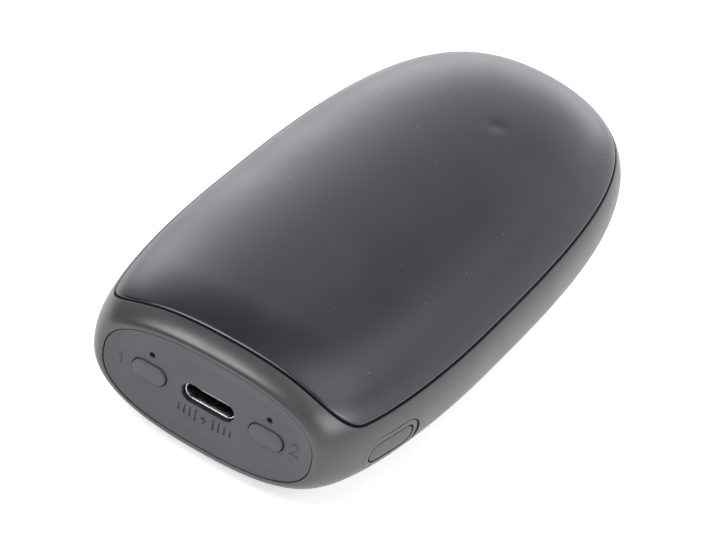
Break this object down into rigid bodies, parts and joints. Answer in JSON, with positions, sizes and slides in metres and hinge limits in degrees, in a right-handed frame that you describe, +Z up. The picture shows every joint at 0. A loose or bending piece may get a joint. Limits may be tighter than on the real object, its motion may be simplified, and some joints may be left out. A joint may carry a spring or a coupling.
{
  "type": "rechargeable hand warmer",
  "caption": "Pebble-shaped rechargeable hand warmer with heated metal shells on both faces, push buttons and a charging port at the narrow end and a key on its flank.",
  "frame": {"origin": "on the surface that the part lies on, under the middle of its length and width", "axes": "+Z up through the top shell; the charging port and its two buttons face -Y and the round tail faces +Y; the side button is on the +X flank"},
  "size_m": [0.053, 0.1, 0.0228],
  "materials": {
    "shell_metal": "satin dark grey, anodised",
    "frame_plastic": "soft satin dark grey",
    "panel_plastic": "matte dark grey, fine grain",
    "key_plastic": "matte dark grey, fine grain",
    "lens": "smoked clear, polished",
    "port_steel": "bright nickel plate",
    "black_plastic": "black moulded",
    "board": "green solder mask",
    "component": "dark epoxy",
    "screw_steel": "zinc plate",
    "cell_sleeve": "shrink sleeve over a steel can, at a cell's mean density",
    "nickel": "nickel strip",
    "lead_sleeve": "silicone sleeve",
    "heater_film": "amber polyimide film",
    "foam": "closed-cell foam",
    "lamp": "clear epoxy"
  },
  "bodies": {
    "casing": {"top_shell": "shell_metal", "bottom_shell": "shell_metal", "middle_frame": "frame_plastic", "end_panel": "panel_plastic", "left_light_pipe": "lens", "right_light_pipe": "lens", "usb_port_shell": "port_steel", "usb_port_insert": "black_plastic", "main_board": "board", "control_chip": "component", "charge_chip": "component", "power_inductor": "component", "left_switch_body": "black_plastic", "right_switch_body": "black_plastic", "side_switch_body": "black_plastic", "left_led": "lamp", "right_led": "lamp", "left_board_screw": "screw_steel", "right_board_screw": "screw_steel", "left_cell": "cell_sleeve", "right_cell": "cell_sleeve", "left_cell_pad": "foam", "right_cell_pad": "foam", "positive_link": "nickel", "negative_link": "nickel", "negative_lead": "lead_sleeve", "upper_heater_film": "heater_film", "lower_heater_film": "heater_film", "upper_heater_tail": "heater_film", "lower_heater_tail": "heater_film", "upper_valley_foam": "foam", "lower_valley_foam": "foam", "upper_thermistor": "component", "lower_thermistor": "component"},
    "left_key": {"left_button": "key_plastic", "left_switch_plunger": "key_plastic"},
    "right_key": {"right_button": "key_plastic", "right_switch_plunger": "key_plastic"},
    "side_key": {"side_button": "key_plastic", "side_switch_plunger": "key_plastic"}
  },
  "joints": [
    {"name": "left_button_press", "type": "slide", "parent": "casing", "child": "left_key", "axis": [0, 1, 0], "range_m": [0, 0.0004], "stiffness_N_per_m": 1500},
    {"name": "right_button_press", "type": "slide", "parent": "casing", "child": "right_key", "axis": [0, 1, 0], "range_m": [0, 0.0004], "stiffness_N_per_m": 1500},
    {"name": "side_button_press", "type": "slide", "parent": "casing", "child": "side_key", "axis": [-1, 0, 0], "range_m": [0, 0.0004], "stiffness_N_per_m": 1500}
  ]
}
